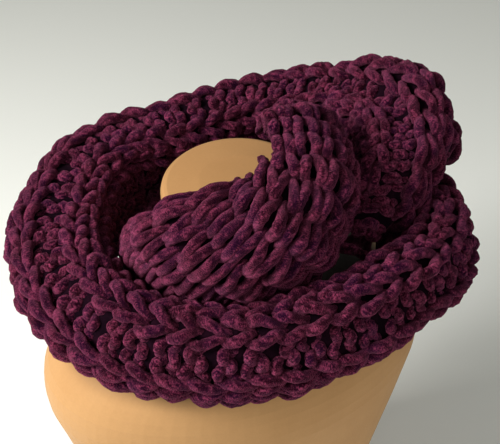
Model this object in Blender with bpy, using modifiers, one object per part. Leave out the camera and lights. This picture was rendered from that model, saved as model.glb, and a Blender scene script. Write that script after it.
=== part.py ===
"""An infinity scarf worn in two turns round the neck of a limbless dress form.

The scarf is one broad hand-knitted band, joined end to end. Each stretch of it
that shows is a wall of cloth of its own: a row of cross-sections, set round the
neck by the tables below, is lofted into an open sheet and thickened. The form is
a waist-length torso with a flat base, and a separate cap closes its neck.

Plan angles run clockwise as seen from above: 0 is the wearer's left side (+X),
90 the front (-Y), 180 the wearer's right side (-X) and 270 the back (+Y).
The origin is the centre of the form's flat base, and +Z is up.
"""

import math
from typing import NamedTuple

import bmesh
import bpy
import numpy as np

MM = 0.001
COLLECTION = "infinity_scarf"

# The knitted cloth
CLOTH_THICKNESS = 16 * MM
SEAM_GAP = 0.3 * MM
GROOVE_REACH = 25 * MM      # how far each side of its line a fold valley spreads
SECTION_STEPS = 160         # steps in working out one cross-section
STITCH_COLUMN = 11 * MM     # spacing of facets across the band
SQUARE_END = 5 * MM         # how far the cloth runs square to a seam

# The dress form
TORSO_SIDES = 88
TORSO_LEVELS = 3            # facets between one stated ring and the next
CAP_SIDES = 96
NECK_CENTRE_Y = -5 * MM
NECK_TOP = 468 * MM
CAP_RADIUS = 57.5 * MM
CAP_HEIGHT = 10 * MM
CAP_DOME = 3 * MM
CAP_EDGE = 6 * MM

CLOTH_COLOUR = (0.105, 0.017, 0.060)
FORM_COLOUR = (0.470, 0.270, 0.120)
CAP_COLOUR = (0.510, 0.290, 0.125)


class Section(NamedTuple):
    """One cross-section of the band, in millimetres and degrees.

    The band's valley line passes through (angle, radius, height). There the cloth
    faces `face` degrees above the outward horizontal. Its two halves, towards the
    neck and away from it, have their own widths, and curl back from the face. A
    fold's groove runs along it, `groove_at` outwards from the valley line.
    """

    angle: float
    radius: float
    height: float
    face: float
    width_in: float
    width_out: float
    curl_in: float
    curl_out: float
    groove: float
    groove_at: float


# The first turn: from the wearer's left shoulder round the front, up over the
# other shoulder, behind the neck, and over itself into the inner fold.
OUTER_TURN = [
    #        angle radius height face w_in w_out c_in c_out groove groove_at
    Section(-30, 168, 422, 45, 22, 42, 30, 90, 0, 0),
    Section(0, 179, 430, 48, 38, 52, 58, 100, 3, 8),
    Section(15, 182, 432, 53, 64, 60, 86, 104, 5, 12),
    Section(30, 169, 438, 62, 80, 66, 104, 106, 8, 15),
    Section(45, 150, 445, 64, 88, 66, 112, 104, 9, 16),
    Section(60, 137, 444, 61, 81, 64, 118, 98, 10, 16),
    Section(90, 123, 437, 53, 66, 64, 128, 84, 10, 15),
    Section(120, 124, 436, 52, 64, 65, 128, 82, 10, 15),
    Section(150, 134, 440, 60, 70, 75, 118, 90, 10, 11),
    Section(180, 141, 448, 74, 86, 85, 108, 100, 12, 4),
    Section(210, 144, 450, 84, 84, 94, 100, 106, 14, 0),
    Section(240, 151, 453, 80, 73, 95, 105, 105, 13, 0),
    Section(270, 131, 455, 95, 64, 82, 110, 108, 6, 0),
    Section(300, 151, 458, 98, 64, 84, 110, 105, 6, 0),
    Section(322, 160, 484, 90, 64, 86, 102, 98, 15, -6),
    Section(338, 164, 505, 86, 67, 86, 96, 88, 24, -12),
    Section(350, 160, 509, 84, 72, 84, 90, 78, 25, -13),
    Section(360, 148, 501, 84, 71, 76, 84, 73, 19, -9),
    Section(370, 132, 487, 84, 49, 52, 72, 80, 9, -3),
    Section(378, 118, 467, 80, 26, 32, 60, 68, 3, 0),
    Section(388, 105, 448, 76, 14, 16, 40, 40, 0, 0),
    Section(398, 95, 428, 72, 12, 12, 30, 30, 0, 0),
]

# The second turn: from its fold beside the neck, over the rim of the form's neck
# and down across the front, to where it tucks under the first turn.
INNER_TURN = [
    Section(-36, 74, 497, 42, 42, 42, 50, 60, 0, 0),
    Section(-25, 74, 498, 42, 44, 48, 50, 62, 0, 0),
    Section(-12, 74, 503, 42, 48, 55, 50, 68, 0, 0),
    Section(15, 74, 501, 42, 50, 61, 50, 69, 0, 0),
    Section(45, 74, 495, 42, 50, 63, 50, 66, 0, 0),
    Section(75, 75, 489, 42, 50, 62, 50, 65, 0, 0),
    Section(105, 74, 483, 41, 50, 57, 48, 66, 0, 0),
    Section(135, 75, 478, 38, 42, 55, 45, 66, 0, 0),
    Section(150, 79, 477, 33, 31, 50, 42, 55, 0, 0),
    Section(165, 82, 466, 24, 21, 43, 38, 46, 0, 0),
    Section(180, 82, 444, 16, 18, 31, 30, 30, 0, 0),
    Section(195, 80, 422, 12, 18, 20, 20, 22, 0, 0),
]

# The second turn again, lying low under the first one and round the back.
LOWER_TURN = [
    Section(196, 80, 419, 12, 18, 20, 20, 22, 0, 0),
    Section(212, 84, 406, 26, 16, 22, 20, 26, 0, 0),
    Section(228, 94, 391, 44, 18, 28, 22, 36, 0, 0),
    Section(242, 110, 384, 54, 22, 40, 28, 52, 0, 0),
    Section(258, 125, 381, 60, 26, 50, 32, 64, 0, 0),
    Section(272, 133, 381, 62, 30, 56, 36, 70, 0, 0),
    Section(292, 142, 378, 60, 32, 55, 40, 74, 0, 0),
    Section(312, 154, 380, 56, 32, 50, 40, 75, 0, 0),
    Section(330, 176, 398, 48, 22, 42, 32, 85, 0, 0),
]


class Stretch(NamedTuple):
    """A stretch of the band that shows, cut from its turn between two angles.

    Its facets are `row_angle` degrees apart along the band.
    """

    name: str
    turn: list
    start: float
    end: float
    row_angle: float


STRETCHES = [
    Stretch("outer_right", OUTER_TURN, -29, 38, 8),
    Stretch("outer_front", OUTER_TURN, 38, 140, 8.5),
    Stretch("left_roll", OUTER_TURN, 140, 228, 8.5),
    Stretch("back_band", OUTER_TURN, 228, 300, 9),
    Stretch("right_fold", OUTER_TURN, 300, 392, 7),
    Stretch("front_drape", INNER_TURN, -36, 195, 9.5),
    Stretch("lower_left", LOWER_TURN, 196, 240, 9),
    Stretch("lower_back", LOWER_TURN, 240, 330, 9),
]


class Ring(NamedTuple):
    """One level of the dress form: an ellipse, in millimetres."""

    height: float
    half_width: float
    half_depth: float
    centre_y: float


TORSO_RINGS = [
    Ring(0, 122, 82, 0),
    Ring(60, 126, 87, 0),
    Ring(130, 138, 96, 0),
    Ring(200, 151, 104, 0),
    Ring(260, 163, 109, 0),
    Ring(300, 169, 110, 0),
    Ring(328, 162, 105, 0),
    Ring(350, 139, 95, -1),
    Ring(368, 106, 83, -2),
    Ring(382, 84, 72, -4),
    Ring(396, 68, 64, -5),
    Ring(410, 60, 60, -5),
    Ring(430, 58, 58, -5),
    Ring(468, 57.5, 57.5, -5),
]


def clear_scene() -> None:
    """Remove whatever the scene holds."""
    for old in list(bpy.data.objects):
        bpy.data.objects.remove(old, do_unlink=True)


def plain_material(name: str, colour: tuple, roughness: float) -> bpy.types.Material:
    """A Principled material of one colour."""
    material = bpy.data.materials.new(name)
    material.use_nodes = True
    shader = material.node_tree.nodes["Principled BSDF"]
    shader.inputs["Base Color"].default_value = (*colour, 1.0)
    shader.inputs["Roughness"].default_value = roughness
    shader.inputs["Metallic"].default_value = 0.0
    return material


def add_part(name: str, mesh: bpy.types.Mesh, colour: tuple, roughness: float) -> bpy.types.Object:
    """Put a mesh in the part's collection, with a material of its own."""
    part = bpy.data.objects.new(name, mesh)
    bpy.data.collections[COLLECTION].objects.link(part)
    mesh.materials.append(plain_material(name + "_finish", colour, roughness))
    return part


def smooth_columns(table: list, stations: np.ndarray) -> dict:
    """Read every column of a table at the given stations, which its first column gives.

    Each column is a smooth cubic through its rows, whose slope at a row is the
    mean of the slopes to the rows beside it.
    """
    rows = np.array(table, float)
    fields = table[0]._fields
    steps = np.diff(rows[:, 0])
    index = np.clip(np.searchsorted(rows[:, 0], stations) - 1, 0, len(rows) - 2)
    step = steps[index]
    t = (stations - rows[index, 0]) / step
    columns = {fields[0]: stations}
    for number, field in enumerate(fields[1:], start=1):
        values = rows[:, number]
        slopes = np.diff(values) / steps
        inner = (slopes[:-1] * steps[1:] + slopes[1:] * steps[:-1]) / (steps[1:] + steps[:-1])
        slope = np.concatenate([slopes[:1], inner, slopes[-1:]])
        columns[field] = (
            (2 * t**3 - 3 * t**2 + 1) * values[index]
            + (t**3 - 2 * t**2 + t) * step * slope[index]
            + (3 * t**2 - 2 * t**3) * values[index + 1]
            + (t**3 - t**2) * step * slope[index + 1]
        )
    return columns


def running_sum(rate: np.ndarray, step: float) -> np.ndarray:
    """Add up a rate along a line, from zero at the line's middle."""
    total = np.concatenate([[0.0], np.cumsum((rate[1:] + rate[:-1]) / 2 * step)])
    return total - total[len(total) // 2]


def section_curve(section: Section) -> tuple:
    """Work out one cross-section.

    The cloth sets out from the valley line square to its face. Towards each edge
    its heading turns through that side's curl, fast at first and then less. The
    valley is then pressed in along the face.

    Returns the position across the band in metres from the valley line, and the
    radius and height there, in metres.
    """
    across = np.linspace(-1, 1, SECTION_STEPS + 1)
    inner = across < 0
    half = np.where(inner, section.width_in, section.width_out) * MM
    curl = np.radians(np.where(inner, section.curl_in, section.curl_out))
    face = math.radians(section.face)
    heading = face - curl * np.sin(np.pi * across / 2)
    step = across[1] - across[0]
    radius = running_sum(np.sin(heading) * half, step)
    height = running_sum(-np.cos(heading) * half, step)
    from_groove = across * half - section.groove_at * MM
    pressed = section.groove * MM * np.exp(-((from_groove / GROOVE_REACH) ** 2))
    radius = radius - pressed * math.cos(face) + section.radius * MM
    height = height - pressed * math.sin(face) + section.height * MM
    return across * half, radius, height


def place_section(section: Section, facets: int, shift: float, row_angle: float) -> np.ndarray:
    """Set a cross-section in its upright plane, moved square to it by a shift.

    Near the neck, where rows lie close, the shift is at most half of their spacing.
    """
    across, radius, height = section_curve(section)
    places = np.linspace(across[0], across[-1], facets + 1)
    turn = math.radians(section.angle)
    at = np.interp(places, across, radius)
    limit = at * math.radians(row_angle) / 2
    shift = np.clip(shift, -limit, limit)
    x = at * math.cos(turn) - shift * math.sin(turn)
    y = -at * math.sin(turn) - shift * math.cos(turn)
    return np.stack([x, y, np.interp(places, across, height)], axis=1)


def stretch_points(stretch: Stretch) -> np.ndarray:
    """Work out the grid of points of a stretch's middle surface, rows along it.

    At both cut ends the cloth runs square to the seam for a short way, so that
    the ends of neighbouring walls lie flat and parallel, a seam's gap apart.
    """
    count = max(3, round((stretch.end - stretch.start) / stretch.row_angle))
    columns = smooth_columns(stretch.turn, np.linspace(stretch.start, stretch.end, count + 1))
    sections = [Section(*(columns[field][row] for field in Section._fields)) for row in range(count + 1)]
    width = max(section.width_in + section.width_out for section in sections) * MM
    facets = max(4, round(width / STITCH_COLUMN))
    rows = [
        place_section(sections[0], facets, SEAM_GAP / 2, stretch.row_angle),
        place_section(sections[0], facets, SQUARE_END, stretch.row_angle),
    ]
    rows += [place_section(section, facets, 0.0, stretch.row_angle) for section in sections[1:-1]]
    rows += [
        place_section(sections[-1], facets, -SQUARE_END, stretch.row_angle),
        place_section(sections[-1], facets, -SEAM_GAP / 2, stretch.row_angle),
    ]
    return np.array(rows)


def sheet_mesh(name: str, grid: np.ndarray) -> bpy.types.Mesh:
    """Loft a grid of points, whose rows are unlike sections, into an open sheet."""
    rows, columns, _ = grid.shape
    mesh = bpy.data.meshes.new(name)
    sheet = bmesh.new()
    points = [[sheet.verts.new(point) for point in row] for row in grid]
    for i in range(rows - 1):
        for j in range(columns - 1):
            sheet.faces.new((points[i][j], points[i][j + 1], points[i + 1][j + 1], points[i + 1][j]))
    sheet.to_mesh(mesh)
    sheet.free()
    return mesh


def build_stretch(stretch: Stretch) -> None:
    """Build one stretch of cloth: its sheet, thickened both ways."""
    mesh = sheet_mesh(stretch.name, stretch_points(stretch))
    part = add_part(stretch.name, mesh, CLOTH_COLOUR, 0.95)
    wall = part.modifiers.new("wall", "SOLIDIFY")
    wall.thickness = CLOTH_THICKNESS
    wall.offset = 0.0
    mesh.shade_smooth()


def build_torso() -> None:
    """Loft the torso through its rings, with a flat base and a flat neck top."""
    mesh = bpy.data.meshes.new("torso")
    body = bmesh.new()
    turns = [2 * math.pi * k / TORSO_SIDES for k in range(TORSO_SIDES)]
    stated = [ring.height for ring in TORSO_RINGS]
    count = (len(stated) - 1) * TORSO_LEVELS
    levels = np.interp(np.arange(count + 1) / TORSO_LEVELS, range(len(stated)), stated)
    columns = smooth_columns(TORSO_RINGS, levels)
    loops = []
    for height, half_width, half_depth, centre_y in zip(*(columns[name] for name in Ring._fields)):
        loop = []
        for turn in turns:
            x = half_width * math.cos(turn)
            y = half_depth * math.sin(turn) + centre_y
            loop.append(body.verts.new((x * MM, y * MM, height * MM)))
        loops.append(loop)
    for lower, upper in zip(loops, loops[1:]):
        for k in range(TORSO_SIDES):
            beside = (k + 1) % TORSO_SIDES
            body.faces.new((lower[k], lower[beside], upper[beside], upper[k]))
    body.faces.new(list(reversed(loops[0])))
    body.faces.new(loops[-1])
    body.to_mesh(mesh)
    body.free()
    add_part("torso", mesh, FORM_COLOUR, 0.5)
    mesh.shade_smooth()
    mesh.set_sharp_from_angle(angle=math.radians(40))


def build_neck_cap() -> None:
    """Turn the cap that closes the neck: a low dome with a rounded edge."""
    base = NECK_TOP + SEAM_GAP
    top = base + CAP_HEIGHT
    edge_centre = (CAP_RADIUS - CAP_EDGE, top - CAP_EDGE)
    profile = [(0.0, top + CAP_DOME), (CAP_RADIUS * 0.5, top + CAP_DOME * 0.7)]
    for degrees in (80, 55, 30, 0):
        turn = math.radians(degrees)
        outward, upward = CAP_EDGE * math.cos(turn), CAP_EDGE * math.sin(turn)
        profile.append((edge_centre[0] + outward, edge_centre[1] + upward))
    profile += [(CAP_RADIUS, base), (0.0, base)]
    mesh = bpy.data.meshes.new("neck_cap")
    edges = [(k, k + 1) for k in range(len(profile) - 1)]
    mesh.from_pydata([(x, 0.0, z) for x, z in profile], edges, [])
    cap = add_part("neck_cap", mesh, CAP_COLOUR, 0.45)
    cap.location.y = NECK_CENTRE_Y
    screw = cap.modifiers.new("turn", "SCREW")
    screw.steps = CAP_SIDES
    screw.render_steps = CAP_SIDES
    screw.use_merge_vertices = True
    screw.merge_threshold = 0.0001
    screw.use_smooth_shade = True


def main() -> None:
    """Build the form and then every stretch of the scarf."""
    clear_scene()
    collection = bpy.data.collections.new(COLLECTION)
    bpy.context.scene.collection.children.link(collection)
    build_torso()
    build_neck_cap()
    for stretch in STRETCHES:
        build_stretch(stretch)


main()
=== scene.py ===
"""Looks for an infinity scarf in super-bulky chenille yarn, worn in two turns on a dress form.

The scarf is one rib-knitted band. Its courses lie across the band and its wales run
along it, round the neck. Every course is knitted here as one real yarn: a tube that
runs through its loops on the cloth's middle surface, which the section tables give
just as the part's source does. A thin dark sheet lies on that middle surface: painted
shade that stands for the yarn deeper in the cloth, seen between the stitches.

Lengths are in metres unless a name says otherwise, and plan angles run clockwise as
seen from above: 0 is the wearer's left side, 90 the front, 180 the right, 270 the back.
"""

import logging
import math
from dataclasses import dataclass, field
from enum import Enum
from typing import NamedTuple

import bpy
import numpy as np
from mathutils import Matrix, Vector


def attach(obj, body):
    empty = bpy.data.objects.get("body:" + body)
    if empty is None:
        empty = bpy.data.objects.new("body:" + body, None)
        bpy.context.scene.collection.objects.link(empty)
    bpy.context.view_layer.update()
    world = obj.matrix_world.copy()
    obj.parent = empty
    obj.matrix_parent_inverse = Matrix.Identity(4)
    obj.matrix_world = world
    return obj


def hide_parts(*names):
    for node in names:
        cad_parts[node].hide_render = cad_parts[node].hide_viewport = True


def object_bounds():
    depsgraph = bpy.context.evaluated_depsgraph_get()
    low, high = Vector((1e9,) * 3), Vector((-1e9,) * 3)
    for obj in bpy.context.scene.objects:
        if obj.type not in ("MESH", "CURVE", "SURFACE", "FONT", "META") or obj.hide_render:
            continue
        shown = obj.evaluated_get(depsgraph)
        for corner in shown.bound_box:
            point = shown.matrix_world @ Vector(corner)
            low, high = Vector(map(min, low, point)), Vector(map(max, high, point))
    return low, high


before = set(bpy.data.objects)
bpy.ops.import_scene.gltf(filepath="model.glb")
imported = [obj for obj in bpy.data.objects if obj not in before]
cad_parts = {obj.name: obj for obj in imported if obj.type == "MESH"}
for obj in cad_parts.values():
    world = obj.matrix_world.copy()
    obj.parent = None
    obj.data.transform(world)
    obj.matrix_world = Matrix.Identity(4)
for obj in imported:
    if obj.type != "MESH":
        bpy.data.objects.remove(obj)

CAD_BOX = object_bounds()

MM = 0.001
CM_PER_M = 100
BODY = "root"
SECTION_STEPS = 160         # steps across a section of the cloth
GROOVE_REACH = 25 * MM
WIDTH_IN, WIDTH_OUT, GROOVE_AT = 3, 4, 8    # where smooth_columns gives these columns
SEED = 41

log = logging.getLogger("scarf")


class Section(NamedTuple):
    """One cross-section of the band, in millimetres and degrees.

    The band's valley line passes through (angle, radius, height). There the cloth
    faces `face` degrees above the outward horizontal. Its two halves, towards the
    neck and away from it, have their own widths, and curl back from the face. A
    fold's groove runs along it, `groove_at` outwards from the valley line.
    """

    angle: float
    radius: float
    height: float
    face: float
    width_in: float
    width_out: float
    curl_in: float
    curl_out: float
    groove: float
    groove_at: float


class Lean(NamedTuple):
    """How far the wales lean outwards from the band's own line, in degrees."""

    angle: float
    lean: float


# The first turn: from the wearer's left shoulder round the front, up over the
# other shoulder, behind the neck, and over itself into the inner fold.
OUTER_ROWS = [
    #        angle radius height face w_in w_out c_in c_out groove groove_at
    Section(-30, 168, 422, 45, 22, 42, 30, 90, 0, 0),
    Section(0, 179, 430, 48, 38, 52, 58, 100, 3, 8),
    Section(15, 182, 432, 53, 64, 60, 86, 104, 5, 12),
    Section(30, 169, 438, 62, 80, 66, 104, 106, 8, 15),
    Section(45, 150, 445, 64, 88, 66, 112, 104, 9, 16),
    Section(60, 137, 444, 61, 81, 64, 118, 98, 10, 16),
    Section(90, 123, 437, 53, 66, 64, 128, 84, 10, 15),
    Section(120, 124, 436, 52, 64, 65, 128, 82, 10, 15),
    Section(150, 134, 440, 60, 70, 75, 118, 90, 10, 11),
    Section(180, 141, 448, 74, 86, 85, 108, 100, 12, 4),
    Section(210, 144, 450, 84, 84, 94, 100, 106, 14, 0),
    Section(240, 151, 453, 80, 73, 95, 105, 105, 13, 0),
    Section(270, 131, 455, 95, 64, 82, 110, 108, 6, 0),
    Section(300, 151, 458, 98, 64, 84, 110, 105, 6, 0),
    Section(322, 160, 484, 90, 64, 86, 102, 98, 15, -6),
    Section(338, 164, 505, 86, 67, 86, 96, 88, 24, -12),
    Section(350, 160, 509, 84, 72, 84, 90, 78, 25, -13),
    Section(360, 148, 501, 84, 71, 76, 84, 73, 19, -9),
    Section(370, 132, 487, 84, 49, 52, 72, 80, 9, -3),
    Section(378, 118, 467, 80, 26, 32, 60, 68, 3, 0),
    Section(388, 105, 448, 76, 14, 16, 40, 40, 0, 0),
    Section(398, 95, 428, 72, 12, 12, 30, 30, 0, 0),
]

# The second turn: from its fold beside the neck, over the rim of the form's neck
# and down across the front, to where it tucks under the first turn.
INNER_ROWS = [
    Section(-36, 74, 497, 42, 42, 42, 50, 60, 0, 0),
    Section(-25, 74, 498, 42, 44, 48, 50, 62, 0, 0),
    Section(-12, 74, 503, 42, 48, 55, 50, 68, 0, 0),
    Section(15, 74, 501, 42, 50, 61, 50, 69, 0, 0),
    Section(45, 74, 495, 42, 50, 63, 50, 66, 0, 0),
    Section(75, 75, 489, 42, 50, 62, 50, 65, 0, 0),
    Section(105, 74, 483, 41, 50, 57, 48, 66, 0, 0),
    Section(135, 75, 478, 38, 42, 55, 45, 66, 0, 0),
    Section(150, 79, 477, 33, 31, 50, 42, 55, 0, 0),
    Section(165, 82, 466, 24, 21, 43, 38, 46, 0, 0),
    Section(180, 82, 444, 16, 18, 31, 30, 30, 0, 0),
    Section(195, 80, 422, 12, 18, 20, 20, 22, 0, 0),
]

# The second turn again, lying low under the first one and round the back.
LOWER_ROWS = [
    Section(196, 80, 419, 12, 18, 20, 20, 22, 0, 0),
    Section(212, 84, 406, 26, 16, 22, 20, 26, 0, 0),
    Section(228, 94, 391, 44, 18, 28, 22, 36, 0, 0),
    Section(242, 110, 384, 54, 22, 40, 28, 52, 0, 0),
    Section(258, 125, 381, 60, 26, 50, 32, 64, 0, 0),
    Section(272, 133, 381, 62, 30, 56, 36, 70, 0, 0),
    Section(292, 142, 378, 60, 32, 55, 40, 74, 0, 0),
    Section(312, 154, 380, 56, 32, 50, 40, 75, 0, 0),
    Section(330, 176, 398, 48, 22, 42, 32, 85, 0, 0),
]


def smooth_columns(rows: list[tuple], angles: np.ndarray) -> list[np.ndarray]:
    """Read every column of a table at the given angles, as smooth cubics.

    Args:
        rows: the table, whose first column is the angle in degrees.
        angles: where to read it.

    Returns:
        One array for each column after the first.
    """
    table = np.array(rows, float)
    stations = table[:, 0]
    steps = np.diff(stations)
    index = np.clip(np.searchsorted(stations, angles) - 1, 0, len(stations) - 2)
    step = steps[index]
    t = (angles - stations[index]) / step
    columns = []
    for values in table[:, 1:].T:
        slopes = np.diff(values) / steps
        inner = (slopes[:-1] * steps[1:] + slopes[1:] * steps[:-1]) / (steps[1:] + steps[:-1])
        slope = np.concatenate([slopes[:1], inner, slopes[-1:]])
        columns.append(
            (2 * t**3 - 3 * t**2 + 1) * values[index]
            + (t**3 - 2 * t**2 + t) * step * slope[index]
            + (3 * t**2 - 2 * t**3) * values[index + 1]
            + (t**3 - t**2) * step * slope[index + 1]
        )
    return columns


def unit(vectors: np.ndarray) -> np.ndarray:
    """Scale vectors, one to a row, to length 1."""
    return vectors / (np.linalg.norm(vectors, axis=-1, keepdims=True) + 1e-12)


class Face(Enum):
    """Which side of a stitch shows: its sign is the way that its legs stand."""

    KNIT = 1.0
    PURL = -1.0


@dataclass(frozen=True)
class Gauge:
    """How the band is knitted, in metres.

    Attributes:
        knit_wale: the width of a knit stitch.
        purl_wale: the width of a purl stitch.
        course: the height of a row.
        reach: from a knit loop's middle to its head, along the wale.
        purl_reach: the same for a purl loop.
        splay: a leg's sideways swing, as a share of its wale.
        crimp: how far the legs stand out, and the heads sink in.
        tip: how much more a knit leg stands out towards its far end.
        yarn: the yarn's radius.
        sink: how far a purl wale draws back into the cloth.
    """

    knit_wale: float = 18.0 * MM
    purl_wale: float = 12.5 * MM
    course: float = 19.5 * MM
    reach: float = 16.6 * MM
    purl_reach: float = 14.6 * MM
    splay: float = 0.26
    crimp: float = 4.9 * MM
    tip: float = 4.5 * MM
    yarn: float = 3.60 * MM
    sink: float = 3.2 * MM


@dataclass(frozen=True)
class Turn:
    """One turn of the band round the neck, and how its stitches lie on it.

    Attributes:
        rows: the section table.
        leans: how the wales lean.
        ribbed: a two-by-two rib with a purl valley, or else knit stitches only.
        disorder: how uneven the stitches are, from 0.
        selvedge: how far past the cloth's inner and outer edges a stitch's middle may lie.
        gauge: the sizes of its stitches.
    """

    rows: list
    leans: list
    ribbed: bool
    disorder: float
    selvedge: tuple = (12 * MM, 1 * MM)
    gauge: Gauge = field(default_factory=Gauge)

    OVERRUN = 0.5           # how far a wale's line runs on past both ends, in metres
    STATIONS = 1200         # points along that line
    TURN_STEP = 0.3         # degrees and metres either side of a point, to find its facing
    CROSS_STEP = 0.6 * MM

    def middle(self, angles: np.ndarray, across: np.ndarray) -> np.ndarray:
        """Find points on the cloth's middle surface.

        Args:
            angles: plan angles in degrees.
            across: places across the band, in metres from the valley line.

        Returns:
            The points, one row each. Past an edge the cloth runs on straight.
        """
        columns = smooth_columns(self.rows, angles)
        radius, height, face, width_in, width_out, curl_in, curl_out, groove, groove_at = columns
        t = np.linspace(-1, 1, SECTION_STEPS + 1)
        inner = t < 0
        half = np.where(inner, width_in[:, None], width_out[:, None]) * MM
        curl = np.radians(np.where(inner, curl_in[:, None], curl_out[:, None]))
        heading = np.radians(face)[:, None] - curl * np.sin(np.pi * t / 2)
        step = t[1] - t[0]

        def total(rate: np.ndarray) -> np.ndarray:
            """Add up a rate across the band, from zero at the valley line.

            Args:
                rate: the rate at each step across, one row for each section.

            Returns:
                The sums, in the same shape.
            """
            run = np.cumsum((rate[:, 1:] + rate[:, :-1]) / 2 * step, axis=1)
            run = np.concatenate([np.zeros((len(rate), 1)), run], axis=1)
            return run - run[:, SECTION_STEPS // 2, None]

        from_groove = t * half - groove_at[:, None] * MM
        pressed = groove[:, None] * MM * np.exp(-((from_groove / GROOVE_REACH) ** 2))
        out = total(np.sin(heading) * half) - pressed * np.cos(np.radians(face))[:, None]
        up = total(-np.cos(heading) * half) - pressed * np.sin(np.radians(face))[:, None]
        place = np.where(across < 0, across / (width_in * MM), across / (width_out * MM))
        index = np.clip((place + 1) / 2 * SECTION_STEPS, 0, SECTION_STEPS)
        low = np.minimum(index.astype(int), SECTION_STEPS - 1)
        share = (place + 1) / 2 * SECTION_STEPS - low
        row = np.arange(len(angles))
        at = radius * MM + out[row, low] + (out[row, low + 1] - out[row, low]) * share
        rise = height * MM + up[row, low] + (up[row, low + 1] - up[row, low]) * share
        plan = np.radians(angles)
        return np.stack([at * np.cos(plan), -at * np.sin(plan), rise], axis=1)

    def frames(self, angles: np.ndarray, across: np.ndarray) -> tuple:
        """Find points on the middle surface, and the way that the cloth faces there.

        Args:
            angles: plan angles in degrees.
            across: places across the band, in metres from the valley line.

        Returns:
            The points and the facings, one row each.
        """
        turn, side = self.TURN_STEP, self.CROSS_STEP
        along = self.middle(angles + turn, across) - self.middle(angles - turn, across)
        cross = self.middle(angles, across + side) - self.middle(angles, across - side)
        return self.middle(angles, across), unit(np.cross(along, cross))

    def run(self) -> tuple:
        """Lay one wale's own line from the start of the valley line.

        Returns:
            Plan angles and the valley's length up to each; then, for places along the
            wale's line that run on past both ends, the length along it, the valley's
            length beside it, and how far outwards from the valley it has drifted.
        """
        angles = np.linspace(self.rows[0].angle, self.rows[-1].angle, self.STATIONS)
        line = self.middle(angles, np.zeros_like(angles))
        steps = np.linalg.norm(np.diff(line, axis=0), axis=1)
        valley = np.concatenate([[0.0], np.cumsum(steps)])
        lean = np.radians(smooth_columns(self.leans, angles)[0])
        groove_at = smooth_columns(self.rows, angles)[GROOVE_AT] * MM
        between = (lean[1:] + lean[:-1]) / 2
        along = np.concatenate([[0.0], np.cumsum(steps / np.cos(between))])
        drift = np.concatenate([[0.0], np.cumsum(steps * np.tan(between))]) + groove_at
        over = self.OVERRUN

        def run_on(values: np.ndarray, first: float, last: float) -> np.ndarray:
            """Carry a value on past both ends."""
            return np.concatenate([[values[0] - over * first], values, [values[-1] + over * last]])

        return (
            angles, valley, run_on(along, 1, 1),
            run_on(valley, math.cos(lean[0]), math.cos(lean[-1])),
            run_on(drift, math.sin(lean[0]), math.sin(lean[-1])),
            run_on(lean, 0, 0),
        )

    def wales(self, low: float, high: float) -> tuple:
        """Lay out the wales between two places across the band.

        Args:
            low: the inner place, in metres.
            high: the outer place.

        Returns:
            The edges of the wales, in metres, and the face of each.
        """
        gauge = self.gauge
        pattern = [(gauge.knit_wale, Face.KNIT)]
        if self.ribbed:
            pattern = [(gauge.purl_wale, Face.PURL)] + 2 * pattern + [(gauge.purl_wale, Face.PURL)]
        edges, faces = [0.0], []
        while edges[-1] < high:
            width, face = pattern[len(faces) % len(pattern)]
            edges.append(edges[-1] + width)
            faces.append(face)
        below, below_faces = [0.0], []
        while below[-1] > low:
            width, face = pattern[len(below_faces) % len(pattern)]
            below.append(below[-1] - width)
            below_faces.append(face)
        return np.array(below[:0:-1] + edges), below_faces[::-1] + faces


@dataclass
class Strand:
    """The middle line of one length of yarn, and what its mesh and finish need.

    Attributes:
        angle: the plan angle at its middle.
        points: the line, one row for each point.
        facing: the way that the cloth faces at each point.
        radius: the yarn's radius there.
        depth: how far the yarn stands out there, from -1 to 1.
    """

    angle: float
    points: np.ndarray
    facing: np.ndarray
    radius: np.ndarray
    depth: np.ndarray


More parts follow.
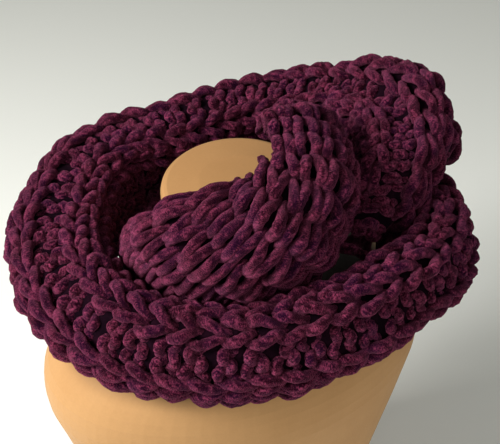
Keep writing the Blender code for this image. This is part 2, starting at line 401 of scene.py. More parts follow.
class Knitter:
    """Knits a turn, course by course, into strands of yarn."""

    STEPS = 50              # points along each stitch
    REACH = 0.36            # how far out the wales are laid, before the cloth's edges cut them off
    BLEND = 0.2             # the share of a stitch in which its face changes to the next one's
    UNEVEN_TALL = 0.10      # how uneven a stitch is in its height, as a share
    UNEVEN_SWING = 0.18     # in its legs' swing
    UNEVEN_CRIMP = 0.16     # in its crimp
    UNEVEN_ACROSS = 1.0 * MM    # and in its place across, along and out of the cloth
    UNEVEN_ALONG = 1.1 * MM
    UNEVEN_OUT = 0.9 * MM
    LEG_SWELL = 0.12        # how much fuller the pile stands on the legs
    TIP_SWELL = 0.35        # and towards a knit leg's far end

    def __init__(self, turn: Turn, seed: int) -> None:
        """Measure the turn.

        Args:
            turn: the turn to knit.
            seed: for its unevenness.
        """
        self.turn = turn
        self.random = np.random.default_rng(seed)
        self.angles, self.valley, self.along, self.beside, self.drift, self.lean = turn.run()
        widths = smooth_columns(turn.rows, self.angles)
        self.inside = -widths[WIDTH_IN] * MM
        self.outside = widths[WIDTH_OUT] * MM

    def place(self, along: np.ndarray, across: np.ndarray) -> tuple:
        """Turn places in the knitting into places on the cloth.

        Args:
            along: metres along the wales' line.
            across: metres across the wales, from that line.

        Returns:
            Metres along the valley line, and metres across the band from it.
        """
        lean = np.interp(along, self.along, self.lean)
        beside = np.interp(along, self.along, self.beside) - across * np.sin(lean)
        return beside, np.interp(along, self.along, self.drift) + across * np.cos(lean)

    def courses(self) -> list[Strand]:
        """Knit the whole turn.

        Returns:
            One strand for each unbroken run of stitches in a course.
        """
        total = self.along[-2]
        count = round(total / self.turn.gauge.course)
        pitch = total / count
        reach = self.REACH if self.lean.any() else self.REACH / 2
        edges, faces = self.turn.wales(-reach, reach)
        extra = round(self.REACH / pitch) if self.lean.any() else 0
        strands = []
        for course in range(-extra, count + extra):
            along = (course + 0.5) * pitch
            wobble = self.random.normal(size=(6, len(faces))).clip(-2, 2)
            for first, last in self.spans(self.held(along, edges)):
                strands.append(self.knit(along, edges, faces, first, last, wobble, pitch))
        return strands

    def held(self, along: float, edges: np.ndarray) -> np.ndarray:
        """Say which stitches of a course lie on the cloth.

        Args:
            along: where the course lies, along the wales' line.
            edges: the edges of the wales.

        Returns:
            True for each stitch that does.
        """
        middles = (edges[1:] + edges[:-1]) / 2
        beside, across = self.place(np.full(len(middles), along), middles)
        inside = np.interp(beside, self.valley, self.inside) - self.turn.selvedge[0]
        outside = np.interp(beside, self.valley, self.outside) + self.turn.selvedge[1]
        return (beside > 0) & (beside < self.valley[-1]) & (across > inside) & (across < outside)

    @staticmethod
    def spans(held: np.ndarray) -> list[tuple]:
        """List the unbroken runs of held stitches.

        Args:
            held: True for each stitch that lies on the cloth.

        Returns:
            The first and the last stitch of each run.
        """
        spans, first = [], None
        for number, on in enumerate(list(held) + [False]):
            if on and first is None:
                first = number
            if not on and first is not None:
                spans.append((first, number - 1))
                first = None
        return spans

    def knit(self, along: float, edges: np.ndarray, faces: list, first: int, last: int,
             wobble: np.ndarray, pitch: float) -> Strand:
        """Run one yarn through a row of stitches.

        Args:
            along: where the course lies, along the wales' line.
            edges: the edges of the wales.
            faces: the face of each wale.
            first: the first stitch.
            last: the last stitch.
            wobble: random numbers, six for each wale.
            pitch: the spacing of the courses.

        Returns:
            The yarn's middle line.
        """
        gauge, disorder, blend = self.turn.gauge, self.turn.disorder, self.BLEND
        count = last - first + 1
        stitch = np.linspace(0, count, count * self.STEPS + 1)
        number = np.minimum(stitch.astype(int), count - 1)
        share = stitch - number
        phase = 2 * np.pi * share
        width = np.diff(edges)[first:last + 1]
        middles = np.arange(count) + 0.5
        spread = [np.interp(stitch, middles, row[first:last + 1]) for row in wobble]
        signs = np.array([face.value for face in faces])[first:last + 1]
        padded = np.concatenate([signs[:1], signs, signs[-1:]])
        own = padded[number + 1]
        before = (padded[number] + own) / 2
        after = (own + padded[number + 2]) / 2
        entering = before + (own - before) * share / blend
        leaving = after + (own - after) * (1 - share) / blend
        sign = np.where(share < blend, entering, np.where(share > 1 - blend, leaving, own))
        wide = np.interp(stitch, middles, width)
        knit = (1 + sign) / 2
        tall = gauge.purl_reach + (gauge.reach - gauge.purl_reach) * knit
        tall = tall * (1 + self.UNEVEN_TALL * disorder * spread[0]) * (pitch / gauge.course)
        across = edges[first] + np.concatenate([[0.0], np.cumsum(width)])[number] + width[number] * share
        swing = gauge.splay * wide * (1 + self.UNEVEN_SWING * disorder * spread[1])
        across = across + swing * np.sin(2 * phase)
        across = across + self.UNEVEN_ACROSS * disorder * spread[2]
        ahead = along - tall * np.cos(phase) + self.UNEVEN_ALONG * disorder * spread[3]
        lift = -sign * gauge.crimp * (1 + self.UNEVEN_CRIMP * disorder * spread[4]) * np.cos(2 * phase)
        far = -knit * np.cos(phase) * np.sin(phase) ** 2
        lift = lift + gauge.tip * far + self.UNEVEN_OUT * disorder * spread[5] - gauge.sink * (1 - knit)
        leg = -sign * np.cos(2 * phase)
        beside, places = self.place(ahead, across)
        point, facing = self.turn.frames(np.interp(beside, self.valley, self.angles), places)
        point = point + facing * lift[:, None]
        radius = gauge.yarn * (1 + self.LEG_SWELL * leg + self.TIP_SWELL * far)
        where = float(np.interp(beside.mean(), self.valley, self.angles))
        return Strand(where, point, facing, radius, leg)


class YarnMesh:
    """Sweeps strands into one mesh of chenille yarn, with a pile that is a little uneven."""

    SIDES = 12
    PILE = 0.44 * MM        # how unevenly the pile stands, point by point
    TUFT = 0.14 * MM        # and from one tuft along the yarn to the next
    LUMP = 0.06             # slow changes of thickness, as a share of the radius
    LUMP_STEP = 14 * MM     # and how far apart they are
    TIP = (0.35, 0.75, 0.95)    # how the yarn rounds off at its ends

    def __init__(self, seed: int) -> None:
        """Start with no yarn.

        Args:
            seed: for the pile's unevenness.
        """
        self.random = np.random.default_rng(seed)
        self.points, self.faces, self.corners = [], [], []
        self.depth, self.stand = [], []
        self.count = 0

    def add(self, strand: Strand) -> None:
        """Sweep one strand, rounded off at both ends.

        Args:
            strand: the strand.
        """
        line = strand.points
        steps = np.linalg.norm(np.diff(line, axis=0), axis=1)
        length = np.concatenate([[0.0], np.cumsum(steps)])
        tangent = unit(np.gradient(line, axis=0))
        side = unit(np.cross(tangent, strand.facing))
        front = np.cross(side, tangent)
        rings, sides = len(line), self.SIDES
        knots = np.arange(0, length[-1] + 20 * MM, self.LUMP_STEP)
        lumps = np.interp(length, knots, self.random.normal(size=len(knots)))
        radius = strand.radius * (1 + self.LUMP * lumps)
        ends = len(self.TIP)
        radius[:ends] *= self.TIP
        radius[-ends:] *= self.TIP[::-1]
        turn = 2 * np.pi * np.arange(sides) / sides
        pile = self.random.uniform(-self.PILE, self.PILE, size=(rings, sides))
        pile = pile + self.random.uniform(-self.TUFT, self.TUFT, size=(rings, 1))
        stand = pile / (self.PILE + self.TUFT)
        reach = radius[:, None] + pile
        ring = (
            line[:, None, :]
            + (reach * np.cos(turn))[:, :, None] * front[:, None, :]
            + (reach * np.sin(turn))[:, :, None] * side[:, None, :]
        )
        caps = np.stack([line[0] - tangent[0] * radius[0], line[-1] + tangent[-1] * radius[-1]])
        self.points.append(np.concatenate([ring.reshape(-1, 3), caps]))
        start = self.count
        at = start + np.arange(rings * sides).reshape(rings, sides)
        nxt = np.roll(at, -1, axis=1)
        quads = np.stack([at[:-1], at[1:], nxt[1:], nxt[:-1]], axis=-1).reshape(-1, 4)
        first, last = start + rings * sides, start + rings * sides + 1
        self.faces += quads.tolist()
        self.faces += [(first, int(a), int(b)) for a, b in zip(at[0], nxt[0])]
        self.faces += [(last, int(b), int(a)) for a, b in zip(at[-1], nxt[-1])]
        u = np.repeat(length, sides).reshape(rings, sides)
        v = np.tile(turn, rings).reshape(rings, sides)
        around = strand.radius.mean()
        ahead = v + turn[1]
        corner = np.stack([
            np.stack([u[:-1], v[:-1] * around], -1), np.stack([u[1:], v[1:] * around], -1),
            np.stack([u[1:], ahead[1:] * around], -1), np.stack([u[:-1], ahead[:-1] * around], -1),
        ], axis=2).reshape(-1, 2)
        self.corners.append(corner)
        self.corners.append(np.zeros((sides * 6, 2)))
        # painted shade and highlight: the yarn's material darkens it by this on its side towards the
        # cloth and where it sinks in, and keeps its pink highlight to its outer side
        outward = (np.cos(turn)[None, :] * 0.5 + strand.depth[:, None] * 0.5).reshape(-1)
        self.depth.append(np.concatenate([outward, [strand.depth[0], strand.depth[-1]]]))
        # the pile's height, which the material paints as well: shade in its hollows, a pink highlight on
        # its highest tufts
        self.stand.append(np.concatenate([stand.reshape(-1), [0.0, 0.0]]))
        self.count += rings * sides + 2

    def build(self, name: str) -> bpy.types.Object:
        """Make the mesh and its object.

        Args:
            name: the object's name.

        Returns:
            The object, linked to the scene.
        """
        mesh = bpy.data.meshes.new(name)
        mesh.from_pydata(np.concatenate(self.points), [], self.faces)
        uv = mesh.uv_layers.new(name="yarn")
        corners = np.concatenate(self.corners) * CM_PER_M
        uv.data.foreach_set("uv", corners.astype(np.float32).ravel())
        for label, values in (("depth", self.depth), ("stand", self.stand)):
            layer = mesh.attributes.new(label, "FLOAT", "POINT")
            layer.data.foreach_set("value", np.concatenate(values).astype(np.float32))
        mesh.shade_smooth()
        return link(name, mesh)


def link(name: str, mesh: bpy.types.Mesh) -> bpy.types.Object:
    """Put a mesh in the scene.

    Args:
        name: the object's name.
        mesh: its mesh.

    Returns:
        The object.
    """
    piece = bpy.data.objects.new(name, mesh)
    bpy.context.scene.collection.objects.link(piece)
    return piece


# ---------------------------------------------------------------- finishes


NodeValue = float | tuple | bpy.types.NodeSocket


class Nodes:
    """A short hand for building one node tree."""

    def __init__(self, tree: bpy.types.NodeTree) -> None:
        """Keep the tree."""
        self.tree = tree

    def feed(self, socket: bpy.types.NodeSocket, value: NodeValue) -> None:
        """Set an input socket, or link an output socket to it.

        Args:
            socket: the input.
            value: a number, a colour or an output socket.
        """
        if isinstance(value, bpy.types.NodeSocket):
            self.tree.links.new(value, socket)
        else:
            socket.default_value = value

    def add(self, kind: str, **inputs: NodeValue) -> bpy.types.Node:
        """Add a node, and set or link its inputs.

        Args:
            kind: the node's type name.
            inputs: values or output sockets, by input name with _ for a space.

        Returns:
            The node.
        """
        node = self.tree.nodes.new(kind)
        for name, value in inputs.items():
            self.put(node, name.replace("_", " "), value)
        return node

    def put(self, node: bpy.types.Node, name: str, value: NodeValue) -> None:
        """Feed the input of that name."""
        self.feed(node.inputs[name], value)

    def mix(self, share: NodeValue, low: NodeValue, high: NodeValue,
            blend: str = "MIX") -> bpy.types.NodeSocket:
        """Mix two colours.

        Args:
            share: how much of the second colour there is, from 0 to 1.
            low: the first colour.
            high: the second colour.
            blend: how they mix.

        Returns:
            The mixed colour.
        """
        node = self.tree.nodes.new("ShaderNodeMix")
        node.data_type = "RGBA"
        node.blend_type = blend
        factor, first, second, mixed = node.inputs[0], node.inputs[6], node.inputs[7], node.outputs[2]
        for socket, value in ((factor, share), (first, low), (second, high)):
            self.feed(socket, value)
        return mixed

    def math(self, operation: str, *values: NodeValue) -> bpy.types.NodeSocket:
        """Do a sum.

        Args:
            operation: the Math node's operation.
            values: numbers or sockets.

        Returns:
            The result.
        """
        node = self.tree.nodes.new("ShaderNodeMath")
        node.operation = operation
        for socket, value in zip(node.inputs, values):
            self.feed(socket, value)
        return node.outputs[0]

    def spread(self, value: bpy.types.NodeSocket, low: float, high: float,
               to_low: float = 0.0, to_high: float = 1.0) -> bpy.types.NodeSocket:
        """Stretch a range of values smoothly onto another, and stop at its ends.

        Args:
            value: the value.
            low: where the first range starts.
            high: where it ends.
            to_low: what its start becomes.
            to_high: what its end becomes.

        Returns:
            The new value.
        """
        node = self.tree.nodes.new("ShaderNodeMapRange")
        node.interpolation_type = "SMOOTHSTEP"
        for socket, given in zip(node.inputs, (value, low, high, to_low, to_high)):
            self.feed(socket, given)
        return node.outputs[0]

    def mottled(self, group: bpy.types.NodeTree, base: tuple, patch: tuple, scale: float,
                amount: float, speck_scale: float, speck: float) -> bpy.types.Node:
        """Place the mottle group.

        Args:
            group: the group.
            base: the main colour.
            patch: the colour of its patches.
            scale: how fine the patches are.
            amount: how strong they are, from 0 to 1.
            speck_scale: how fine the specks are.
            speck: how strong they are.

        Returns:
            The node.
        """
        node = self.tree.nodes.new("ShaderNodeGroup")
        node.node_tree = group
        for name, value in (("Base", base), ("Patch", patch), ("Scale", scale),
                            ("Amount", amount), ("Speck Scale", speck_scale), ("Speck", speck)):
            self.put(node, name, value)
        return node


def socketed_group(name: str, inputs: dict, outputs: dict) -> tuple:
    """Start a node group.

    Args:
        name: the group's name.
        inputs: default values by socket name; a number or a colour.
        outputs: socket types by name.

    Returns:
        The group, its Nodes, its input node and its output node.
    """
    group = bpy.data.node_groups.new(name, "ShaderNodeTree")
    for label, value in inputs.items():
        kind = "NodeSocketColor" if isinstance(value, tuple) else "NodeSocketFloat"
        socket = group.interface.new_socket(label, in_out="INPUT", socket_type=kind)
        socket.default_value = value
    for label, kind in outputs.items():
        group.interface.new_socket(label, in_out="OUTPUT", socket_type=kind)
    nodes = Nodes(group)
    return group, nodes, nodes.add("NodeGroupInput"), nodes.add("NodeGroupOutput")


def mottle_group() -> bpy.types.NodeTree:
    """A soft change of colour over the surface, with a finer speck in it.

    Returns:
        The group, which every finish but the floor's places.
    """
    group, nodes, given, result = socketed_group(
        "mottle",
        {"Base": (0.5, 0.5, 0.5, 1.0), "Patch": (0.5, 0.5, 0.5, 1.0), "Scale": 30.0,
         "Amount": 0.5, "Speck Scale": 600.0, "Speck": 0.2},
        {"Color": "NodeSocketColor", "Mask": "NodeSocketFloat"},
    )
    place = nodes.add("ShaderNodeTexCoord").outputs["Object"]
    broad = nodes.add("ShaderNodeTexNoise", Vector=place, Scale=given.outputs["Scale"],
                      Detail=3.0, Roughness=0.55)
    fine = nodes.add("ShaderNodeTexNoise", Vector=place, Scale=given.outputs["Speck Scale"], Detail=2.0)
    mask = nodes.spread(broad.outputs["Fac"], 0.38, 0.66)
    share = nodes.math("MULTIPLY", mask, given.outputs["Amount"])
    colour = nodes.mix(share, given.outputs["Base"], given.outputs["Patch"])
    speck = nodes.math("SUBTRACT", fine.outputs["Fac"], 0.5)
    speck = nodes.math("MULTIPLY_ADD", nodes.math("MULTIPLY", speck, given.outputs["Speck"]), 2.0, 1.0)
    grey = nodes.add("ShaderNodeCombineColor", Red=speck, Green=speck, Blue=speck)
    colour = nodes.mix(1.0, colour, grey.outputs["Color"], "MULTIPLY")
    nodes.put(result, "Color", colour)
    nodes.put(result, "Mask", mask)
    return group


def material_with(name: str) -> tuple:
    """Start a material.

    Args:
        name: its name.

    Returns:
        The material, its Nodes and its Principled shader.
    """
    material = bpy.data.materials.new(name)
    material.use_nodes = True
    return material, Nodes(material.node_tree), material.node_tree.nodes["Principled BSDF"]


@dataclass(frozen=True)
class ChenilleFinish:
    """The yarn: a velvet pile, with painted shade towards the cloth and in its hollows, and a pink
    painted highlight on its highest outer tufts.

    Attributes:
        shade_colour: the colour of the painted shade, on the yarn's side towards the cloth, where it
            sinks in, and in the pile's hollows.
        body: the yarn's main colour.
        violet: the colour of its cooler patches.
        tip: the colour of the painted highlight, on the pile's highest tufts on the yarn's outer side.
        sheen: the tint of the pile's sheen.
        tuft: tufts to a centimetre along the yarn.
        around: tufts round the yarn, as a share of that.
        ridge: how high the tufts stand.
        bump: how strongly.
        stand: how much a point's own height counts beside the tufts.
    """

    shade_colour: tuple = (0.0035, 0.0003, 0.0012, 1.0)
    body: tuple = (0.018, 0.0009, 0.0062, 1.0)
    violet: tuple = (0.015, 0.0010, 0.0165, 1.0)
    tip: tuple = (0.390, 0.062, 0.140, 1.0)
    sheen: tuple = (0.95, 0.24, 0.46, 1.0)
    tuft: float = 15.5
    around: float = 0.4
    ridge: float = 2.38 * MM
    bump: float = 1.0
    stand: float = 0.16

    def make(self, mottle: bpy.types.NodeTree) -> bpy.types.Material:
        """Build the yarn's material.

        Args:
            mottle: the mottle group.

        Returns:
            The material.
        """
        material, nodes, shader = material_with("chenille_yarn")
        patch = nodes.mottled(mottle, self.body, self.violet, 36.0, 0.9, 800.0, 0.7)
        depth = nodes.add("ShaderNodeAttribute")
        depth.attribute_name = "depth"
        # painted shade: the yarn turns to the shade colour on its side towards the cloth and where it
        # sinks into the knit
        sunk_shade = nodes.spread(depth.outputs["Fac"], -0.65, 0.75)
        colour = nodes.mix(sunk_shade, self.shade_colour, patch.outputs["Color"])
        tufts = self.tufts(nodes)
        stand = nodes.add("ShaderNodeAttribute")
        stand.attribute_name = "stand"
        pile = nodes.math("MULTIPLY_ADD", stand.outputs["Fac"], self.stand, tufts)
        # painted highlight: the highest tufts turn pink, on the yarn's outer side only
        tip_highlight = nodes.spread(pile, 0.42, 0.80)
        outer = nodes.spread(depth.outputs["Fac"], -0.35, 0.75, 0.05, 0.8)
        tip_highlight = nodes.math("MULTIPLY", tip_highlight, outer)
        # painted shade in the hollows of the pile
        colour = nodes.mix(nodes.spread(pile, 0.05, 0.48), self.shade_colour, colour)
        colour = nodes.mix(tip_highlight, colour, self.tip)
        nodes.put(shader, "Base Color", colour)
        bump = nodes.add("ShaderNodeBump", Height=tufts, Strength=self.bump, Distance=self.ridge)
        nodes.put(shader, "Normal", bump.outputs["Normal"])
        shader.inputs["Roughness"].default_value = 0.95
        shader.inputs["Specular IOR Level"].default_value = 0.04
        shader.inputs["Sheen Weight"].default_value = 0.30
        shader.inputs["Sheen Roughness"].default_value = 0.32
        shader.inputs["Sheen Tint"].default_value = self.sheen
        return material

    def tufts(self, nodes: Nodes) -> bpy.types.NodeSocket:
        """The pile's tufts: short ridges across the yarn.

        Args:
            nodes: the material's nodes.

        Returns:
            Their height, from 0 to 1.
        """
        place = nodes.add("ShaderNodeUVMap")
        place.uv_map = "yarn"
        stretch = nodes.add("ShaderNodeMapping")
        nodes.put(stretch, "Vector", place.outputs["UV"])
        stretch.inputs["Scale"].default_value = (self.tuft, self.tuft * self.around, 1.0)
        noise = nodes.add("ShaderNodeTexNoise", Vector=stretch.outputs["Vector"], Scale=1.0,
                          Detail=3.0, Roughness=0.65)
        return noise.outputs["Fac"]


@dataclass(frozen=True)
class ShadeSheetFinish:
    """A sheet of painted shade: it stands for the yarn deeper in the knit, seen dark between the
    stitches.
    """

    # painted shade: the sheet's two near-black colours, mottled
    dark: tuple = (0.004, 0.0008, 0.0030, 1.0)
    plum: tuple = (0.010, 0.0018, 0.0060, 1.0)

    def make(self, mottle: bpy.types.NodeTree) -> bpy.types.Material:
        """Build the backing's material.

        Args:
            mottle: the mottle group.

        Returns:
            The material.
        """
        material, nodes, shader = material_with("knit_backing")
        patch = nodes.mottled(mottle, self.dark, self.plum, 90.0, 1.0, 900.0, 0.6)
        nodes.put(shader, "Base Color", patch.outputs["Color"])
        bump = nodes.add("ShaderNodeBump", Height=patch.outputs["Mask"], Strength=0.6, Distance=1.0 * MM)
        nodes.put(shader, "Normal", bump.outputs["Normal"])
        shader.inputs["Roughness"].default_value = 1.0
        shader.inputs["Specular IOR Level"].default_value = 0.05
        return material


@dataclass(frozen=True)
class ShellFinish:
    """The form's moulded shell: flesh tan, matte, very slightly grained, and where chosen a painted shade
    under the scarf.

    Attributes:
        name: the material's name.
        base: its main colour.
        patch: the colour of its faint patches.
        roughness: its mean roughness.
        gloss: its specular level.
        painted_shade: whether it gets a painted shade where the scarf lies on it and little light comes.
        deep: the colour of that painted shade.
        shade_fade_in: the heights between which the painted shade starts, in metres.
        shade_fade_out: the heights between which it ends.
    """

    name: str
    base: tuple
    patch: tuple
    roughness: float = 0.5
    gloss: float = 0.35
    painted_shade: bool = False
    deep: tuple = (0.020, 0.008, 0.005, 1.0)
    shade_fade_in: tuple = (336 * MM, 362 * MM)
    shade_fade_out: tuple = (415 * MM, 445 * MM)

    def make(self, mottle: bpy.types.NodeTree) -> bpy.types.Material:
        """Build the shell's material.

        Args:
            mottle: the mottle group.

        Returns:
            The material.
        """
        material, nodes, shader = material_with(self.name)
        patch = nodes.mottled(mottle, self.base, self.patch, 14.0, 0.6, 500.0, 0.05)
        colour = patch.outputs["Color"]
        place = nodes.add("ShaderNodeTexCoord").outputs["Object"]
        # painted shade: a dark brown band round the shell, at the heights where the scarf lies on it and
        # little light comes
        if self.painted_shade:
            height = nodes.add("ShaderNodeSeparateXYZ", Vector=place).outputs["Z"]
            low = nodes.spread(height, *self.shade_fade_in)
            high = nodes.spread(height, *self.shade_fade_out, 1.0, 0.0)
            colour = nodes.mix(nodes.math("MULTIPLY", low, high), colour, self.deep)
        nodes.put(shader, "Base Color", colour)
        grain = nodes.add("ShaderNodeTexNoise", Vector=place, Scale=1400.0, Detail=2.0)
        smoother, rougher = self.roughness - 0.06, self.roughness + 0.06
        nodes.put(shader, "Roughness", nodes.spread(grain.outputs["Fac"], 0.3, 0.7, smoother, rougher))
        bump = nodes.add("ShaderNodeBump", Height=grain.outputs["Fac"], Strength=0.12, Distance=0.3 * MM)
        nodes.put(shader, "Normal", bump.outputs["Normal"])
        shader.inputs["Specular IOR Level"].default_value = self.gloss
        return material


@dataclass(frozen=True)
class FloorFinish:
    """A plain pale floor."""

    colour: tuple = (0.97, 0.99, 0.94, 1.0)

    def make(self) -> bpy.types.Material:
        """Build the floor's material.

        Returns:
            The material.
        """
        material, _, shader = material_with("pale_floor")
        shader.inputs["Base Color"].default_value = self.colour
        shader.inputs["Roughness"].default_value = 0.9
        return material


# ---------------------------------------------------------------- pieces


@dataclass
class Stretch:
    """A stretch of the band that shows, between two angles of its turn.

    Under its yarn lies a thin dark sheet on the middle surface: painted shade that stands for the yarn
    deeper in the cloth.

    Attributes:
        name: the name of its CAD node.
        start: the angle at which it starts.
        end: the angle at which it ends.
        step: degrees between the rows of points of that sheet.
        column: metres between its columns.
        thickness: how thick that sheet is.
        under: how far it goes on past the cloth's inner and outer edges.
    """

    name: str
    start: float
    end: float
    step: float = 2.0
    column: float = 5.0 * MM
    thickness: float = 1.6 * MM
    under: tuple = (8 * MM, -2 * MM)

    LEAST = 8               # the fewest steps along or across a sheet of painted shade
    STATIONS = 200          # points along the line that its length is measured on

    def backing(self, turn: Turn, finish: bpy.types.Material) -> bpy.types.Object:
        """Build the sheet of painted shade.

        Args:
            turn: the turn that the stretch is part of.
            finish: its material.

        Returns:
            The piece.
        """
        rows = max(self.LEAST, round((self.end - self.start) / self.step)) + 1
        angles = np.linspace(self.start, self.end, rows)
        columns = smooth_columns(turn.rows, angles)
        inside = -columns[WIDTH_IN] * MM - self.under[0]
        outside = columns[WIDTH_OUT] * MM + self.under[1]
        count = max(self.LEAST, round(float((outside - inside).max()) / self.column)) + 1
        share = np.linspace(0, 1, count)
        across = inside[:, None] + (outside - inside)[:, None] * share
        points = turn.middle(np.repeat(angles, count), across.ravel())
        at = np.arange(rows * count).reshape(rows, count)
        quads = np.stack([at[:-1, :-1], at[:-1, 1:], at[1:, 1:], at[1:, :-1]], axis=-1).reshape(-1, 4)
        mesh = bpy.data.meshes.new(self.name + "_backing")
        mesh.from_pydata(points, [], quads.tolist())
        mesh.materials.append(finish)
        mesh.shade_smooth()
        piece = link(self.name + "_backing", mesh)
        cloth = piece.modifiers.new("thickness", "SOLIDIFY")
        cloth.thickness = self.thickness
        cloth.offset = 0.0
        return piece

    def flat_size(self, turn: Turn) -> tuple:
        """The cut of what shows.

        Args:
            turn: the turn that the stretch is part of.

        Returns:
            The mean width, and the length along the middle of the cloth.
        """
        angles = np.linspace(self.start, self.end, self.STATIONS)
        columns = smooth_columns(turn.rows, angles)
        wide = (columns[WIDTH_IN] + columns[WIDTH_OUT]) * MM
        middle = turn.middle(angles, (columns[WIDTH_OUT] - columns[WIDTH_IN]) * MM / 2)
        return float(wide.mean()), float(np.linalg.norm(np.diff(middle, axis=0), axis=1).sum())


@dataclass
class Scarf:
    """The infinity scarf: its turns, each with its own table, and their stretches that show."""

    turns: dict = field(default_factory=lambda: {
        "outer": Turn(OUTER_ROWS, [Lean(-30, 0), Lean(398, 0)], ribbed=True, disorder=1.0),
        "inner": Turn(INNER_ROWS, [Lean(-36, 0), Lean(10, 0), Lean(50, 26), Lean(85, 42), Lean(195, 42)],
                      ribbed=False, disorder=1.4, selvedge=(0.0, 18 * MM),
                      gauge=Gauge(knit_wale=17 * MM, course=22 * MM, reach=18 * MM, crimp=5.2 * MM,
                                  tip=8 * MM, yarn=3.55 * MM, splay=0.215)),
        "lower": Turn(LOWER_ROWS, [Lean(196, 0), Lean(330, 0)], ribbed=True, disorder=1.0,
                      selvedge=(3 * MM, 3 * MM)),
    })
    stretches: dict = field(default_factory=lambda: {
        # outer_right's and front_drape's sheets of painted shade run on 20 mm past an edge, to fill gaps
        # between the turns
        "outer": [Stretch("outer_right", -29, 38, under=(20 * MM, -2 * MM)),
                  Stretch("outer_front", 38, 140), Stretch("left_roll", 140, 228),
                  Stretch("back_band", 228, 300), Stretch("right_fold", 300, 392)],
        "inner": [Stretch("front_drape", -36, 195, under=(-2 * MM, 20 * MM))],
        "lower": [Stretch("lower_left", 196, 240), Stretch("lower_back", 240, 330)],
    })

    def build(self, mottle: bpy.types.NodeTree) -> None:
        """Knit every turn, and share its courses out among its stretches.

        Args:
            mottle: the mottle group.
        """
        yarn_finish = ChenilleFinish().make(mottle)
        shade_sheet_finish = ShadeSheetFinish().make(mottle)
        for number, (key, turn) in enumerate(self.turns.items()):
            strands = Knitter(turn, SEED + number).courses()
            for stretch in self.stretches[key]:
                last = stretch is self.stretches[key][-1]
                first = stretch is self.stretches[key][0]
                mesh = YarnMesh(SEED + round(stretch.start))
                mine = [
                    strand for strand in strands
                    if (first or strand.angle >= stretch.start) and (last or strand.angle < stretch.end)
                ]
                for strand in mine:
                    mesh.add(strand)
                yarn = mesh.build(stretch.name + "_yarn")
                yarn.data.materials.append(yarn_finish)
                # a thin dark sheet under the yarn, as painted shade between the stitches
                backing = stretch.backing(turn, shade_sheet_finish)
                self.declare(stretch, turn, backing, yarn)
                log.info("%s: %d courses, %d faces", stretch.name, len(mine), len(yarn.data.polygons))

    @staticmethod
    def declare(stretch: Stretch, turn: Turn, backing: bpy.types.Object, yarn: bpy.types.Object) -> None:
        """Hang the two pieces on the body that they ride on, and hide the CAD node of their stretch.

        Args:
            stretch: their stretch.
            turn: the turn that it is part of.
            backing: its sheet of painted shade.
            yarn: its yarn.
        """
        for piece in (backing, yarn):
            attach(piece, BODY)
        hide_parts(stretch.name)
        stretch.flat_size(turn)


@dataclass
class DressForm:
    """The limbless form that wears the scarf: two CAD nodes with moulded finishes."""

    # the torso's shell gets the painted shade under the scarf; the neck cap does not
    shell: ShellFinish = ShellFinish("form_shell", (0.48, 0.27, 0.115, 1.0), (0.44, 0.24, 0.098, 1.0),
                                     gloss=0.06, painted_shade=True)
    cap: ShellFinish = ShellFinish("form_cap", (0.44, 0.235, 0.092, 1.0), (0.40, 0.21, 0.080, 1.0),
                                   roughness=0.42)

    def dress(self, mottle: bpy.types.NodeTree) -> None:
        """Give the torso and its neck cap their materials.

        Args:
            mottle: the mottle group.
        """
        for node, finish in (("torso", self.shell), ("neck_cap", self.cap)):
            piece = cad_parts[node]
            piece.data.materials.clear()
            piece.data.materials.append(finish.make(mottle))
            log.info("%s: dressed", node)


class Lamp(NamedTuple):
    """A square soft light: its place, its side in metres, its power in watts and its colour."""

    name: str
    place: tuple
    side: float
    power: float
    colour: tuple


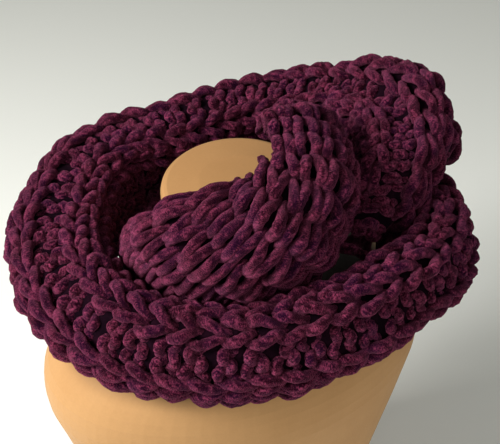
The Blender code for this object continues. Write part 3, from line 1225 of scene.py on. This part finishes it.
@dataclass
class Studio:
    """The floor, the lights and the camera.

    Attributes:
        azimuth: how far round the camera stands from the form's front, in degrees.
        elevation: how far up it stands.
        distance: how far it is from its target, in metres.
        target: what it looks at.
        lens: its focal length in millimetres.
        sensor: its sensor's width.
        floor_size: the floor's side in metres.
        lamps: the lights.
    """

    azimuth: float = -22.0
    elevation: float = 42.0
    distance: float = 0.65
    target: tuple = (0.0023, -0.0231, 0.4523)
    lens: float = 62.9
    sensor: float = 36.0
    floor_size: float = 14.0
    lamps: tuple = (
        Lamp("key", (-1.15, 0.02, 1.28), 0.6, 34.0, (1.0, 0.985, 0.96)),
        Lamp("fill", (1.1, -0.7, 1.0), 1.0, 3.0, (0.97, 0.98, 1.0)),
        Lamp("front", (-0.7, -1.3, 0.8), 0.9, 5.0, (1.0, 0.98, 0.96)),
    )

    def build(self) -> None:
        """Set the stage."""
        self.lay_floor()
        self.place_camera()
        for lamp in self.lamps:
            self.hang(lamp)
        bpy.context.scene.view_settings.view_transform = "Standard"
        world = bpy.data.worlds.new("studio")
        bpy.context.scene.world = world
        world.use_nodes = True
        shade = world.node_tree.nodes["Background"]
        shade.inputs["Color"].default_value = (1.0, 1.0, 0.93, 1.0)
        shade.inputs["Strength"].default_value = 0.19

    def lay_floor(self) -> None:
        """Lay the floor just under the form's base."""
        half, level = self.floor_size / 2, CAD_BOX[0][2]
        corners = [(-half, -half, level), (half, -half, level), (half, half, level), (-half, half, level)]
        mesh = bpy.data.meshes.new("floor")
        mesh.from_pydata(corners, [], [(0, 1, 2, 3)])
        mesh.materials.append(FloorFinish().make())
        link("floor", mesh)

    def place_camera(self) -> None:
        """Look at the scarf from above, a little round to the form's right."""
        turn, rise = math.radians(self.azimuth), math.radians(self.elevation)
        back = Vector((math.sin(turn) * math.cos(rise), -math.cos(turn) * math.cos(rise), math.sin(rise)))
        data = bpy.data.cameras.new("camera")
        data.lens = self.lens
        data.sensor_width = self.sensor
        camera = bpy.data.objects.new("camera", data)
        camera.location = Vector(self.target) + back * self.distance
        camera.rotation_euler = back.to_track_quat("Z", "Y").to_euler()
        bpy.context.scene.collection.objects.link(camera)
        bpy.context.scene.camera = camera

    def hang(self, lamp: Lamp) -> None:
        """Hang a light that faces the scarf.

        Args:
            lamp: the light.
        """
        data = bpy.data.lights.new(lamp.name, "AREA")
        data.shape = "SQUARE"
        data.size = lamp.side
        data.energy = lamp.power
        data.color = lamp.colour
        piece = bpy.data.objects.new(lamp.name, data)
        piece.location = lamp.place
        away = Vector(lamp.place) - Vector(self.target)
        piece.rotation_euler = away.to_track_quat("Z", "Y").to_euler()
        bpy.context.scene.collection.objects.link(piece)


def main() -> None:
    """Build the studio, the form and the scarf."""
    logging.basicConfig(level=logging.INFO, format="%(name)s: %(message)s")
    mottle = mottle_group()
    Studio().build()
    DressForm().dress(mottle)
    Scarf().build(mottle)


if __name__ == "__main__":
    main()
